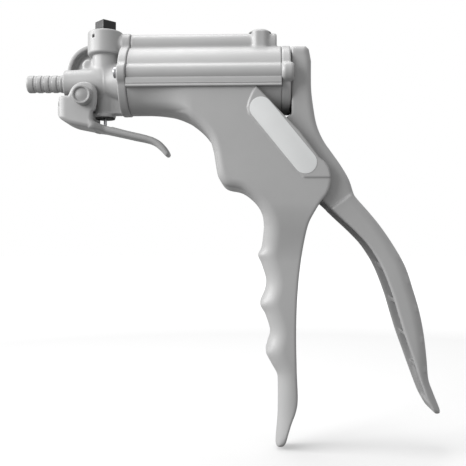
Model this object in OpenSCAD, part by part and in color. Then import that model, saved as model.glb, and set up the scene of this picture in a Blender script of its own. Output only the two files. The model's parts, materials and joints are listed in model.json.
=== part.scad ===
// Pistol-grip hand vacuum pump.
// The origin is the middle of the fixed grip. X runs from the nozzle (-X) to the
// moving handle (+X), Y is across the pump, Z is up. All sizes are millimetres.

/* [Barrel] */
// Length of the barrel from the head seam to the rear cap
barrel_l = 70.5; // [64:0.5:90]
// Outside radius of the barrel
barrel_r = 15.9; // [15:0.1:20]
// Wall of the barrel
barrel_wall = 2.6; // [2:0.1:4]
// Height of the barrel's axis above the middle of the grip
axis_z = 96.4; // [85:0.1:118]
// Radius of the air passage's ridge on top of the barrel
ridge_r = 5; // [4:0.1:6]
// Height of the ridge's centre above the barrel's axis
ridge_h = 17.3; // [16:0.1:18]
// Radius of the screw bosses on the barrel's sides
boss_r = 4.3; // [3.8:0.1:5]
// Radius of the air passages
passage_r = 1.8; // [1:0.1:2.2]
// Thickness of the rear cap
cap_t = 4; // [3:0.1:6]
// Distance of the ridge's end from the rear cap
ridge_gap = 2; // [0:0.1:4]

/* [Grip] */
// Half width of the housing and its ears
housing_w = 16.5; // [16:0.1:20]
// Wall of the housing and the grip
shell_t = 2.5; // [2:0.1:3.5]
// Half width of the grip under the housing
grip_w = 12.6; // [11:0.1:15]
// Half width of the grip's toe
toe_w = 8.5; // [7:0.1:11]
// Length of the grip below its middle
grip_l = 74.4; // [72:0.1:90]
// Distance between neighbouring finger ridges
finger_pitch = 22.4; // [20:0.1:24]
// Height of the highest finger ridge
finger_z = 14.8; // [12:0.1:18]
// Thickness of the cross ribs in the grips
rib_t = 2; // [1.5:0.1:3]

/* [Handle] */
// Distance of the handle's pivot behind the grip's middle
pivot_x = 15; // [13:0.1:17]
// Height of the handle's pivot above the grip's middle
pivot_z = 48.5; // [46:0.1:50]
// Radius of the handle's pivot pin
pin_r = 3; // [2:0.1:3.6]
// Half width of the handle between the ears
handle_w = 11.5; // [10.5:0.1:12]
// Half width of the handle's grip
handle_grip_w = 13; // [12:0.1:13.5]
// Wall of the handle
handle_t = 2.6; // [2:0.1:3]
// Depth of the handle's upper end, front to back
handle_d = 9.3; // [9:0.1:12]
// Height of the handle's upper end above the barrel's axis
handle_top = 14.2; // [12:0.1:17]

/* [Head] */
// Thickness of the head's flange
flange_t = 4; // [3:0.1:6]
// Distance from the head seam to the tower's axis
tower_x = 12.5; // [12:0.1:15]
// Distance from the head seam to the nose's end
nose_l = 32; // [30:0.1:40]
// Radius of the nose at the tower
nose_r = 7.3; // [7:0.1:8.5]
// Radius of the nose's end
nose_tip_r = 6.4; // [6.3:0.1:7.5]
// Depth of the nose's axis under the barrel's axis
nose_drop = 0.7; // [0:0.1:1]
// Length of the cone between the nose and the flange
cone_l = 7; // [4:0.1:8]
// Radius of the tower's collar
collar_r = 8.3; // [7:0.1:9]
// Height of the collar's top above the barrel's axis
collar_top = 23.5; // [21:0.1:28]
// Height of the collar
collar_h = 11; // [8:0.1:12]
// Radius of the tower's neck
neck_r = 6.1; // [5.4:0.1:7]
// Radius of the release chamber
chamber_r = 4.3; // [4:0.1:5]
// Depth of the release chamber's lower end under the barrel's axis
chamber_l = 17.5; // [16:0.1:20]

/* [Barb] */
// Radius of the barb's crests
barb_r = 4.1; // [3:0.1:5]
// Length of the barb outside the nose
barb_l = 17.6; // [14:0.1:24]
// Distance between the barb's grooves
barb_pitch = 3.7; // [3:0.1:4]
// Radius of the barb's air hole
barb_hole_r = 1.9; // [1.2:0.1:2.2]

/* [Release lever] */
// Distance from the nose's end to the lever's pivot
lever_x = 11.3; // [10:0.1:13]
// Depth of the lever's pivot under the barrel's axis
lever_z = 8.5; // [8:0.1:9]
// Half width of the lever between its ears' inner faces
lever_w = 7.6; // [7.5:0.1:8.5]
// Thickness of the lever's ears
lever_t = 2; // [1.6:0.1:2.6]
// Radius of the lever's pin
lever_pin_r = 1.6; // [1.2:0.1:2]
// Length of the lever's arm from its pivot
arm_l = 38.6; // [34:0.1:42]

/* [Selector] */
// Radius of the selector knob
knob_r = 13.5; // [11:0.1:13.5]
// Length of the selector knob's skirt
knob_l = 6.4; // [5:0.1:9]
// Radius of the selector's core
core_r = 2.2; // [2:0.1:2.4]

/* [Piston] */
// Length of the piston
piston_l = 8; // [6:0.1:12]
// Radius of the piston rod
rod_r = 3.5; // [3:0.1:4]
// Wire radius of the return spring
wire_r = 0.8; // [0.5:0.1:1]
// Number of the return spring's turns
spring_turns = 9; // [6:1:12]

/* [Fits] */
// Clearance of a turning or sliding fit, on the radius
run_gap = 0.05; // [0.02:0.01:0.09]
// Clearance of a screw or a seated piece in its hole, on the radius
seat_gap = 0.03; // [0.02:0.01:0.05]
// Clearance of the two end spigots in the barrel, on the radius
spigot_gap = 0.1; // [0.05:0.01:0.2]

/* [Hidden] */
$fn = 64;

grey = [0.66, 0.66, 0.66];
steel = [0.75, 0.75, 0.77];
black = [0.08, 0.08, 0.08];
eps = 0.01;

// Barrel, its ridge, side bosses, rails and screws.
bore_r = barrel_r - barrel_wall;
under_z = axis_z - barrel_r;
ridge_z = axis_z + ridge_h;
boss_y = barrel_r - 1.9;
boss_z = axis_z + 0.8;
rail_top = axis_z - 1.2;
rail_bottom = axis_z - 5.6;
rail_w = housing_w + 0.6;
rail_end = -11.6;
vent_x = -9.8;
vent_r = 4.6;
vent_foot = 0.05;
vent_cap_t = 1.35;
screw_r = 1.25;
screw_y = bore_r + 1.35 + screw_r;
screw_l = 12;
screw_head_r = 2.5;
screw_head_t = 1.4;
slot_w = 0.5;
slot_depth = 0.8;
plate_t = 0.6;
label_t = 0.15;

// Head, its ports, seals and valves.
seam_x = -barrel_l;
head_x = seam_x - tower_x;
nose_x = seam_x - nose_l;
flange_lip = 0.5;
nose_z = axis_z - nose_drop;
cap_lip = 0.1;
spigot_l = 4.5;
cone_r = nose_r + 2.7;
port_r = 5;
port_l = 8;
plug_side = 7.14;
plug_h = 5.3;
barb_flange_r = 5.4;
barb_flange_l = 5.8;
barb_socket_l = 8;
groove_x = seam_x + 1.2;
groove_l = 2;
groove_depth = 1.7;
seal_wire_r = 0.74;
seal_gap = 0.04;
valve_dz = [-6, 6.5];
valve_r = 3.8;
valve_t = 0.8;
valve_stem_r = 1;
valve_seat = 1.3;
gallery_r = 1;
gallery_x = seam_x - 2.6;
lock_pin_r = 0.6;
lock_pin_turn = 31;

// Piston, rod and the cap they run through.
rod_pin_r = 2;
rod_eye_r = 3.2;
rod_pin_x = cap_t + 4;
pin_drop = rod_pin_x - pivot_x;
lift = axis_z - pivot_z;
piston_x = seam_x + spigot_l + 0.8;
piston_back = piston_x + piston_l;
cap_spigot = 5;
bush_r = rod_r + 1.6;
bush_lip = 1.2;
bush_back = 3;
piston_screw_r = 2;
piston_head_r = 3.4;
piston_head_t = 2;
seal_r = 1.5;

handle_front = cap_t + 0.5;
handle_back = handle_front + handle_d;
handle_high = axis_z + handle_top;
ear_w = housing_w - shell_t;

// Lever, release chamber and selector.
lever_px = nose_x + lever_x;
lever_pz = axis_z - lever_z;
lever_half = lever_w + lever_t;
lug_r = 4.4;
lug_gap = 0.1;
hood_r = 5;
pin_head_r = 4.1;
pin_head_t = 5;
ear_r = 7.1;
chamber_bore_r = 3;
chamber_roof = 5.5;
cap_low = axis_z - chamber_l;
cap_rim = 0.5;
chamber_lip_r = 0.6;
chamber_lip_h = 2;
seat_z = cap_low + 4;
disc_t = 1.2;
disc_r = 2.4;
stem_r = 0.75;
stem_head_r = 2;
stem_head_t = 0.8;
core_x = head_x - 7.8;
core_z = axis_z + 7.8;
core_boss_r = core_r + 1;
core_port_r = 0.8;
core_port_y = 1;
core_end = -0.8;
knob_y = lever_half + 1.3;
knob_wall = 2;
grip_bar_w = 3.2;
grip_bar_h = 3;
knob_screw_r = 1.2;

// ---------- helpers ----------

// One point of a smooth curve between b and c.
function curve_point(a, b, c, d, t) = 0.5 * (2 * b + (c - a) * t
    + (2 * a - 5 * b + 4 * c - d) * t * t + (3 * b - a - 3 * c + d) * t * t * t);

// A smooth curve through the points of p, n steps from each one to the next.
function curve(p, n = 4) = let (last = len(p) - 1) concat(
    [for (i = [0:last - 1], k = [0:n - 1])
        curve_point(p[max(i - 1, 0)], p[i], p[i + 1], p[min(i + 2, last)], k / n)],
    [p[last]]);

// The same line moved sideways by d, to the left of its direction.
function inset(p, d) = [for (i = [0:len(p) - 1])
    let (a = p[max(i - 1, 0)], b = p[min(i + 1, len(p) - 1)], t = (b - a) / norm(b - a))
    p[i] + d * [-t[1], t[0]]];

// A point a distance r from c at angle a.
function around(c, r, a) = c + r * [cos(a), sin(a)];

// Stands a flat shape in X and Z up and gives it the span y0 to y1.
module across(y0, y1) {
    translate([0, y1, 0]) rotate([90, 0, 0]) linear_extrude(y1 - y0) children();
}

// Turns a flat shape in Y and Z along the barrel, from x0 to x1.
module along(x0, x1) {
    translate([x0, 0, 0]) rotate([90, 0, 90]) linear_extrude(x1 - x0) children();
}

module rod_x(x0, x1, r, y = 0, z = axis_z) {
    translate([x0, y, z]) rotate([0, 90, 0]) cylinder(h = x1 - x0, r = r);
}

module rod_y(y0, y1, r, x, z) {
    translate([x, y0, z]) rotate([-90, 0, 0]) cylinder(h = y1 - y0, r = r);
}

module rod_z(z0, z1, r, x, y = 0) {
    translate([x, y, z0]) cylinder(h = z1 - z0, r = r);
}

// A ring around the X axis direction, with a round section.
module ring_x(x, big_r, small_r, z = axis_z) {
    translate([x, 0, z]) rotate([0, 90, 0])
        rotate_extrude() translate([big_r, 0]) circle(r = small_r, $fn = 32);
}

// A coil of round wire from the origin up to h.
module coil(mean_r, wire, h, turns, steps, sides = 8) {
    rings = turns * steps;
    rise = h - 2 * wire;
    points = [for (i = [0:rings], k = [0:sides - 1])
        let (a = 360 * i / steps, b = 360 * k / sides, r = mean_r + wire * cos(b))
        [r * cos(a), r * sin(a), wire + rise * i / rings + wire * sin(b)]];
    walls = [for (i = [0:rings - 1], k = [0:sides - 1])
        let (n = (k + 1) % sides)
        [i * sides + k, i * sides + n, (i + 1) * sides + n, (i + 1) * sides + k]];
    polyhedron(points, concat([[for (k = [0:sides - 1]) sides - 1 - k]], walls,
        [[for (k = [0:sides - 1]) rings * sides + k]]));
}

// ---------- shared outlines ----------

// The barrel and its side bosses seen along the axis, grown by g.
module barrel_end(g = 0) {
    translate([0, axis_z]) circle(r = barrel_r + g);
    for (side = [-1, 1]) translate([side * boss_y, boss_z]) circle(r = boss_r + g);
}

// The ridge on top of the barrel seen along the axis, grown by g.
module ridge_end(g = 0) {
    translate([0, ridge_z]) circle(r = ridge_r + g);
    translate([-ridge_r - g, axis_z]) square([2 * (ridge_r + g), ridge_h]);
}

// The front edge of the housing and grip, from the barrel down to the toe.
throat = concat(
    curve([[-52, under_z], [-47.5, under_z - 0.5], [-42.2, under_z - 2.9], [-36.8, under_z - 6.8],
        [-32.9, under_z - 12.8], [-31, under_z - 19.4]]),
    curve([[-29.9, 54], [-28.7, 49.4], [-25.3, 45.8], [-18, 43.9], [-12, 39.1], [-8.9, 33.7],
        [-8.2, 28]]));
fingers = curve([[-8.2, 28], [-9.3, finger_z + 4.2], [-11, finger_z], [-9.3, finger_z - 4.4],
    [-7.3, finger_z - 0.5 * finger_pitch], [-7.8, finger_z - 0.5 * finger_pitch - 5],
    [-10.1, finger_z - finger_pitch], [-7.6, finger_z - finger_pitch - 5.2],
    [-5.4, finger_z - 1.5 * finger_pitch - 1.6], [-6.7, finger_z - 2 * finger_pitch + 4],
    [-7.4, finger_z - 2 * finger_pitch], [-5.2, finger_z - 2 * finger_pitch - 4.6],
    [-2.3, finger_z - 2.5 * finger_pitch + 1.2], [-1.8, finger_z - 2.5 * finger_pitch - 4.5]]);
toe = curve([[-1.8, 24.5 - grip_l], [-1.9, 17.5 - grip_l], [-2.2, 12 - grip_l], [-2.9, 4 - grip_l],
    [-2.7, 1.2 - grip_l], [-1.2, -grip_l], [0.8, 0.6 - grip_l], [2.1, 3.5 - grip_l]]);
front_edge = concat([for (p = throat) p], [for (i = [1:len(fingers) - 1]) fingers[i]],
    [for (i = [1:len(toe) - 1]) toe[i]]);

// The rear edge of the grip and the ears, from the toe up to the barrel's side.
grip_back = curve([[2.8, 6.5 - grip_l], [4.5, 12.5 - grip_l], [6.4, 18 - grip_l],
    [7.2, 24 - grip_l], [6.7, -38], [6.4, -22], [6.7, -9], [7.5, 3], [8.7, 13], [10.2, 22],
    [11.9, 29], [14.4, 34], [17.1, 38.4], [20.2, 42.6]]);
ear_back = [[21.5, 46.5], [21.8, 50], [21, 53.6], [19.3, 56.4], [16.6, 58.6], [8.1, 70.2],
    [rail_end, rail_bottom]];
side_outline = concat(front_edge, grip_back, ear_back, [[rail_end, axis_z], [seam_x, axis_z],
    [seam_x, rail_bottom]]);

// The housing and grip seen from the front.
module front_view(g = 0) {
    right = [[housing_w - g, axis_z], [housing_w - g, 35], [grip_w - g, 18],
        [grip_w - 0.6 - g, -40], [toe_w - g, -grip_l - 1]];
    polygon(concat(right, [for (i = [len(right) - 1:-1:0]) [-right[i][0], right[i][1]]]));
}

// The hollow of the housing and grip, open at the back.
cavity_outline = concat(
    inset([for (p = front_edge) if (p[1] > 12 - grip_l && p[1] < under_z - 3.6) p], shell_t),
    [[60, 11 - grip_l], [60, under_z], [-41, under_z]]);

module grip_ribs() {
    for (z = [-54, -36, -18, 0, 18]) translate([-12, -grip_w, z]) cube([40, 2 * grip_w, rib_t]);
}

// The raised plate on the near ear that carries the label.
plate = [[rail_end, rail_bottom + 0.2], [-13.4, 87.6], [-14.9, 84], [-15.6, 81.1], [-14.9, 78],
    [9.6, 49.2], [21.6, 49.2], [21.8, 50], [21, 53.6], [19.3, 56.4], [16.6, 58.6], [8.1, 70.2]];

module housing_shell() difference() {
    intersection() {
        across(-housing_w, housing_w) polygon(side_outline);
        along(seam_x - 1, 30) front_view();
    }
    intersection() {
        across(-housing_w, housing_w) polygon(cavity_outline);
        along(-60, 70) front_view(shell_t);
    }
    // Room between the ears for the handle, behind the rear cap's seat.
    translate([0, -ear_w, pivot_z]) cube([30, 2 * ear_w, axis_z - pivot_z + 1]);
}

module pump_body() color(grey) difference() {
    union() {
        along(seam_x, 0) barrel_end();
        along(seam_x, -ridge_gap) ridge_end();
        for (side = [-1, 1]) along(seam_x, rail_end) translate([side * rail_w / 2, 0])
            translate([-rail_w / 2, rail_bottom]) square([rail_w, rail_top - rail_bottom]);
        housing_shell();
        intersection() {
            grip_ribs();
            across(-housing_w, housing_w) polygon(side_outline);
            along(-60, 30) front_view(shell_t / 2);
            translate([-40, -30, -100]) cube([40 + 4.5, 60, 200]);
        }
        across(-housing_w - plate_t, -housing_w + eps) polygon(plate);
        rod_z(ridge_z, ridge_z + ridge_r + vent_foot, vent_r, vent_x);
        rod_y(-ear_w - 0.6, -ear_w + eps, pin_r + 3, pivot_x, pivot_z);
    }
    rod_x(seam_x - 1, 1, bore_r);
    rod_x(seam_x - 1, vent_x, passage_r, 0, ridge_z);
    rod_z(ridge_z - passage_r - 0.3, ridge_z + ridge_r + 1, passage_r, vent_x);
    for (side = [-1, 1]) {
        rod_x(seam_x - 1, seam_x + screw_l + 1, screw_r + seat_gap, side * screw_y, boss_z);
        rod_x(-screw_l - 1, 1, screw_r + seat_gap, side * screw_y, boss_z);
    }
    rod_y(-ear_w - 1.4, housing_w + 1, pin_r + seat_gap, pivot_x, pivot_z);
}

// ---------- head ----------

module head_outside() {
    along(seam_x - flange_t, seam_x) {
        barrel_end(flange_lip);
        ridge_end(flange_lip);
    }
    rod_x(seam_x - 1, seam_x + spigot_l, bore_r - spigot_gap);
    translate([nose_x, 0, nose_z]) rotate([0, 90, 0])
        cylinder(h = head_x - nose_x, r1 = nose_tip_r, r2 = nose_r);
    rod_x(head_x, seam_x - 1, nose_r, 0, nose_z);
    translate([seam_x - flange_t - cone_l, 0, nose_z]) rotate([0, 90, 0])
        cylinder(h = cone_l + 0.5, r1 = nose_r, r2 = cone_r);
    // Tower: neck and collar.
    rod_z(axis_z, axis_z + collar_top - 1, neck_r, head_x);
    rod_z(axis_z + collar_top - collar_h, axis_z + collar_top, collar_r, head_x);
    // Ridge between the tower and the flange, with the web under it.
    rod_x(head_x, seam_x - 1, ridge_r, 0, ridge_z);
    translate([head_x, -ridge_r + 0.6, axis_z + 2])
        cube([tower_x - 1, 2 * ridge_r - 1.2, ridge_h - 2]);
    // Release chamber and its web.
    rod_z(cap_low + cap_rim, axis_z, chamber_r, head_x);
    rod_z(cap_low + cap_rim, cap_low + cap_rim + chamber_lip_h, chamber_r + chamber_lip_r, head_x);
    translate([head_x, -chamber_r + 0.8, under_z + 0.4])
        cube([tower_x - 1, 2 * chamber_r - 1.6, barrel_r - 1]);
    // Lug of the lever and boss of the selector.
    rod_y(-lever_w + lug_gap, lever_w - lug_gap, lug_r, lever_px, lever_pz);
    translate([lever_px - lug_r, -lever_w + lug_gap, lever_pz])
        cube([2 * lug_r, 2 * (lever_w - lug_gap), 4]);
    rod_y(core_end - 1, knob_y - 0.3, core_boss_r, core_x, core_z);
}

module head() color(grey) difference() {
    head_outside();
    for (side = [-1, 1])
        rod_x(seam_x - flange_t - 1, seam_x + 1, screw_r + seat_gap, side * screw_y, boss_z);
    // Groove of the head seal.
    difference() {
        rod_x(groove_x, groove_x + groove_l, bore_r + 1);
        rod_x(groove_x - 0.2, groove_x + groove_l + 0.2, bore_r - groove_depth);
    }
    // Air passages: nose, selector, tower, gauge port, ridge and gallery.
    rod_x(nose_x + barb_socket_l - 1, core_x + core_port_r, passage_r, 0, nose_z);
    rod_x(nose_x - 1, nose_x + barb_socket_l, barb_flange_r + seat_gap, 0, nose_z);
    rod_z(nose_z, core_z, core_port_r, core_x, core_port_y);
    rod_x(core_x, head_x, core_port_r, core_port_y, core_z);
    rod_x(head_x - passage_r, seam_x - 1.5, passage_r);
    rod_z(axis_z, axis_z + collar_top - port_l, passage_r, head_x);
    rod_z(axis_z + collar_top - port_l - 0.5, axis_z + collar_top + 1, port_r + seat_gap, head_x);
    rod_x(seam_x - 6, seam_x + 1, passage_r, 0, ridge_z);
    rod_z(axis_z + 5, ridge_z, gallery_r, gallery_x);
    rod_z(axis_z - 8, axis_z, gallery_r, gallery_x);
    // Release chamber.
    rod_z(cap_low, axis_z - chamber_roof, chamber_bore_r, head_x);
    rod_z(axis_z - chamber_roof - 0.5, axis_z, 1.1, head_x);
    // Lever pin and selector core.
    rod_y(-20, 20, lever_pin_r + seat_gap, lever_px, lever_pz);
    rod_y(core_end, 20, core_r + run_gap, core_x, core_z);
    // Valve seats in the spigot's face.
    for (dz = valve_dz) {
        rod_x(seam_x + spigot_l - valve_seat, seam_x + spigot_l + 1, valve_r + 0.6, 0, axis_z + dz);
        rod_x(seam_x - 1, seam_x + spigot_l, valve_stem_r + seat_gap, 0, axis_z + dz);
        for (a = [0:90:270])
            rod_x(seam_x - 3, seam_x + spigot_l, 0.6, 2.4 * sin(a), axis_z + dz + 2.4 * cos(a));
    }
    // Small hole through the collar's wall for the plug's lock pin.
    translate([head_x, 0, axis_z + collar_top - 3.3]) rotate([90, 0, -lock_pin_turn])
        cylinder(h = collar_r + 1, r = lock_pin_r);
}

module head_seal() color(black)
    ring_x(groove_x + groove_l / 2, bore_r - seal_gap - seal_wire_r, seal_wire_r);

module one_screw(x, dir, side) {
    translate([x, side * screw_y, boss_z]) rotate([0, dir * 90, 0]) {
        cylinder(h = screw_l, r = screw_r);
        difference() {
            translate([0, 0, -screw_head_t]) cylinder(h = screw_head_t, r = screw_head_r);
            for (a = [0, 90]) rotate(a) translate([-1.5, -slot_w / 2, -screw_head_t - 0.5])
                cube([3, slot_w, slot_depth + 0.5]);
        }
    }
}

module head_screws() color(steel) for (side = [-1, 1])
    one_screw(seam_x - flange_t, 1, side);

module hose_barb() color(grey) difference() {
    union() {
        rod_x(nose_x - barb_l, nose_x + 0.5, barb_r, 0, nose_z);
        rod_x(nose_x, nose_x + barb_flange_l, barb_flange_r, 0, nose_z);
    }
    rod_x(nose_x - barb_l - 1, nose_x + barb_flange_l + 1, barb_hole_r, 0, nose_z);
    for (i = [0:3]) ring_x(nose_x - 2.4 - i * barb_pitch, barb_r + 0.45, 0.9, nose_z);
    // Rounded tip.
    translate([nose_x - barb_l, 0, nose_z]) rotate([0, 90, 0]) rotate_extrude() difference() {
        translate([barb_r - 0.9, -1]) square([2, 1.9]);
        translate([barb_r - 0.9, 0.9]) circle(r = 0.9, $fn = 32);
    }
}

module barb_seal() color(black)
    ring_x(nose_x + barb_flange_l + 1, barb_flange_r - 1.1, 0.95, nose_z);

module gauge_port_plug() color(black) {
    rod_z(axis_z + collar_top - port_l, axis_z + collar_top, port_r, head_x);
    translate([head_x, 0, axis_z + collar_top]) rotate(45)
        translate([-plug_side / 2, -plug_side / 2, 0]) cube([plug_side, plug_side, plug_h]);
}

module selector_core() color(grey) difference() {
    rod_y(core_end + 0.2, knob_y + knob_l - knob_wall, core_r, core_x, core_z);
    rod_z(core_z - core_r - 1, core_z, core_port_r, core_x, core_port_y);
    rod_x(core_x, core_x + core_r + 1, core_port_r, core_port_y, core_z);
    rod_y(knob_y, knob_y + knob_l, knob_screw_r + seat_gap, core_x, core_z);
}

module selector_knob() color(grey) difference() {
    union() {
        difference() {
            rod_y(knob_y, knob_y + knob_l, knob_r, core_x, core_z);
            rod_y(knob_y - 1, knob_y + knob_l - knob_wall, knob_r - knob_wall, core_x, core_z);
        }
        rod_y(knob_y + 0.2, knob_y + knob_l - 1, core_r + 1.2, core_x, core_z);
        translate([core_x - grip_bar_w / 2, knob_y + knob_l - eps, core_z - knob_r + knob_wall])
            cube([grip_bar_w, grip_bar_h, 2 * (knob_r - knob_wall)]);
    }
    rod_y(knob_y - 1, knob_y + knob_l - knob_wall, core_r + seat_gap, core_x, core_z);
    rod_y(knob_y, knob_y + knob_l + grip_bar_h + 1, knob_screw_r + 0.1, core_x, core_z);
}

module knob_screw() color(steel) {
    top = knob_y + knob_l + grip_bar_h;
    rod_y(knob_y + 0.8, top, knob_screw_r, core_x, core_z);
    rod_y(top, top + 1.2, screw_head_r, core_x, core_z);
}

module valve(dz) color(black) {
    x = seam_x + spigot_l - valve_seat;
    rod_x(x, x + valve_t, valve_r, 0, axis_z + dz);
    rod_x(x - 3.5, x + 0.5, valve_stem_r, 0, axis_z + dz);
}

module inlet_valve() valve(valve_dz[0]);

module outlet_valve() valve(valve_dz[1]);

// ---------- release valve ----------

module release_chamber_cap() color(black) difference() {
    union() {
        rod_z(cap_low, cap_low + cap_rim, chamber_r + chamber_lip_r / 2, head_x);
        rod_z(cap_low, seat_z, chamber_bore_r - seat_gap, head_x);
    }
    rod_z(cap_low - 1, seat_z + 1, stem_r + 0.25, head_x);
}

// The top of the lever's arm, as a height at a distance x from its pivot.
arm_slope = -0.28;
function arm_top(dx) = lever_pz - 10.08 + arm_slope * dx;

module release_stem() color(steel) {
    rod_z(arm_top(head_x - lever_px - stem_r) + 0.1, seat_z + disc_t, stem_r, head_x);
    rod_z(seat_z + disc_t, seat_z + disc_t + stem_head_t, stem_head_r, head_x);
}

module release_valve_disc() color(black) difference() {
    rod_z(seat_z, seat_z + disc_t, disc_r, head_x);
    rod_z(seat_z - 1, seat_z + disc_t + 1, stem_r + seat_gap, head_x);
}

module release_spring() color(steel) translate([head_x, 0, seat_z + disc_t + stem_head_t])
    coil(2, 0.25, axis_z - chamber_roof - seat_z - disc_t - stem_head_t, 5, 16, 6);

module lever_side() {
    p = [lever_px, lever_pz];
    polygon(concat(
        [for (a = [0:15:165]) around(p, ear_r, a)],
        [p + [-7.5, 0.7], p + [-11.6, 0.7]],
        curve([p + [-11.6, 0.7], p + [-12.6, -1.4], p + [-13.1, -5.6], p + [-12, -9.2],
            p + [-8.8, -12], p + [-5.2, -13.7]]),
        [p + [0, -14.9], p + [8, -16.8]],
        curve([p + [4.9, arm_top(4.9) - lever_pz], p + [4.5, -8.8], p + [5.5, -5.3], p + [6.9, -2.6]])));
}

module arm_side() {
    p = [lever_px, lever_pz];
    polygon(concat([p + [-5.2, -13.6], p + [0, -14.9]],
        curve([p + [8, -16.8], p + [17.4, -18.8], p + [25.6, -20.6], p + [30.5, -21.8],
            p + [34, -23.3], p + [36.4, -25.8], p + [arm_l - 1, -26.9], p + [arm_l, -26.4],
            p + [arm_l - 0.2, -25.2], p + [36.4, -22], p + [34, -19.6], p + [30.5, -18.1]]),
        [p + [27.8, arm_top(27.8) - lever_pz], p + [-4, arm_top(-4) - lever_pz]]));
}

// The lever seen from above.
module lever_plan() {
    w = lever_half;
    front = lever_px - 13.1;
    polygon(concat(
        [for (a = [180:15:270]) around([front + hood_r, hood_r - w], hood_r, a)],
        [[lever_px + 7, -w], [lever_px + 10, -5.4], [lever_px + arm_l + 2, -4.6],
            [lever_px + arm_l + 2, 4.6], [lever_px + 10, 5.4], [lever_px + 7, w]],
        [for (a = [90:15:180]) around([front + hood_r, w - hood_r], hood_r, a)]));
}

module release_lever() color(grey) {
    w = lever_half;
    difference() {
        intersection() {
            union() {
                across(-w, w) lever_side();
                across(-w, w) arm_side();
            }
            translate([0, 0, lever_pz - 40]) linear_extrude(60) lever_plan();
        }
        across(-lever_w, lever_w) polygon([
            [lever_px - 12, lever_pz + 10], [lever_px - 12.3, lever_pz - 4],
            [lever_px - 10.5, lever_pz - 8], [lever_px - 6, lever_pz - 10.5],
            [lever_px - 1, arm_top(-1)], [lever_px + 5, arm_top(5)], [lever_px + 12, arm_top(12)],
            [lever_px + 12, lever_pz + 10]]);
        rod_y(-20, 20, lever_pin_r + run_gap, lever_px, lever_pz);
    }
}

module lever_pin() color(grey) {
    rod_y(-lever_half - 0.3, lever_half + 0.2, lever_pin_r, lever_px, lever_pz);
    rod_y(-lever_half - pin_head_t, -lever_half - 0.2, pin_head_r, lever_px, lever_pz);
}

// ---------- rear end ----------

module vent_cap() color(grey) {
    foot = ridge_z + ridge_r + vent_foot;
    rod_z(foot, foot + vent_cap_t, vent_r + 0.7, vent_x);
    rod_z(ridge_z + 1, foot + 0.2, passage_r - 0.3, vent_x);
}

module rear_cap() color(grey) difference() {
    union() {
        along(0, cap_t) barrel_end(cap_lip);
        rod_x(-cap_spigot, 1, bore_r - spigot_gap);
        // Thicker lugs round the screws, clear of the handle.
        intersection() {
            for (side = [-1, 1]) rod_x(0, cap_t + 1.2, boss_r, side * boss_y, boss_z);
            difference() {
                translate([-1, -30, axis_z - 20]) cube([20, 60, 50]);
                translate([-2, -handle_w - 0.4, axis_z - 30]) cube([30, 2 * handle_w + 0.8, 70]);
            }
        }
    }
    rod_x(-cap_spigot - 1, cap_t + 1, bush_r + seat_gap);
    for (side = [-1, 1])
        rod_x(-1, cap_t + 2, screw_r + seat_gap, side * screw_y, boss_z);
    for (side = [-1, 1])
        rod_x(cap_t - 0.2, cap_t + 2, screw_head_r + 0.1, side * screw_y, boss_z);
}

module rear_cap_screws() color(steel) for (side = [-1, 1])
    one_screw(cap_t - 0.2, -1, side);

module rod_bush() color(black) difference() {
    union() {
        rod_x(-cap_spigot - bush_back, cap_t + 0.2, bush_r);
        rod_x(-cap_spigot - bush_back, -cap_spigot, bush_r + bush_lip);
    }
    rod_x(-cap_spigot - bush_back - 1, cap_t + 1, rod_r + run_gap);
}

// ---------- piston ----------

seal_x = piston_x + piston_l / 2;

module piston() color(black) difference() {
    rod_x(piston_x, piston_back, bore_r - 0.25);
    difference() {
        rod_x(seal_x - seal_r - 0.1, seal_x + seal_r + 0.1, bore_r + 1);
        rod_x(seal_x - seal_r - 1, seal_x + seal_r + 1, bore_r - 2 * seal_r - 0.15);
    }
    rod_x(piston_x - 1, piston_x + piston_head_t + 0.2, piston_head_r + 0.1);
    rod_x(piston_x, piston_back + 1, piston_screw_r + seat_gap);
    rod_x(piston_back - 2, piston_back + 1, rod_r + seat_gap);
}

module piston_seal() color([0.2, 0.2, 0.2]) ring_x(seal_x, bore_r - run_gap - seal_r, seal_r);

module piston_screw() color(steel) difference() {
    union() {
        rod_x(piston_x + 0.2, piston_x + 0.2 + piston_head_t, piston_head_r);
        rod_x(piston_x + 0.2 + piston_head_t, piston_back + 6, piston_screw_r);
    }
    translate([piston_x, -slot_w, axis_z - 5]) cube([0.2 + slot_depth, 2 * slot_w, 10]);
}

module piston_rod() color(steel) difference() {
    union() {
        rod_x(piston_back - 2, rod_pin_x, rod_r);
        rod_y(-rod_r + 0.6, rod_r - 0.6, rod_eye_r, rod_pin_x, axis_z);
    }
    rod_x(piston_back - 3, piston_back + 7, piston_screw_r + seat_gap);
    rod_y(-rod_r - 1, rod_r + 1, rod_pin_r + seat_gap, rod_pin_x, axis_z);
}

module return_spring() color(steel)
    translate([piston_back + 0.1, 0, axis_z]) rotate([0, 90, 0])
        coil(bush_r + 2.6, wire_r, -cap_spigot - piston_back - 0.2, spring_turns, 20);

module rod_pin() color(steel)
    rod_y(-handle_w + 1.1, handle_w - 1.1, rod_pin_r, rod_pin_x, axis_z);

// ---------- handle ----------

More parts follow.
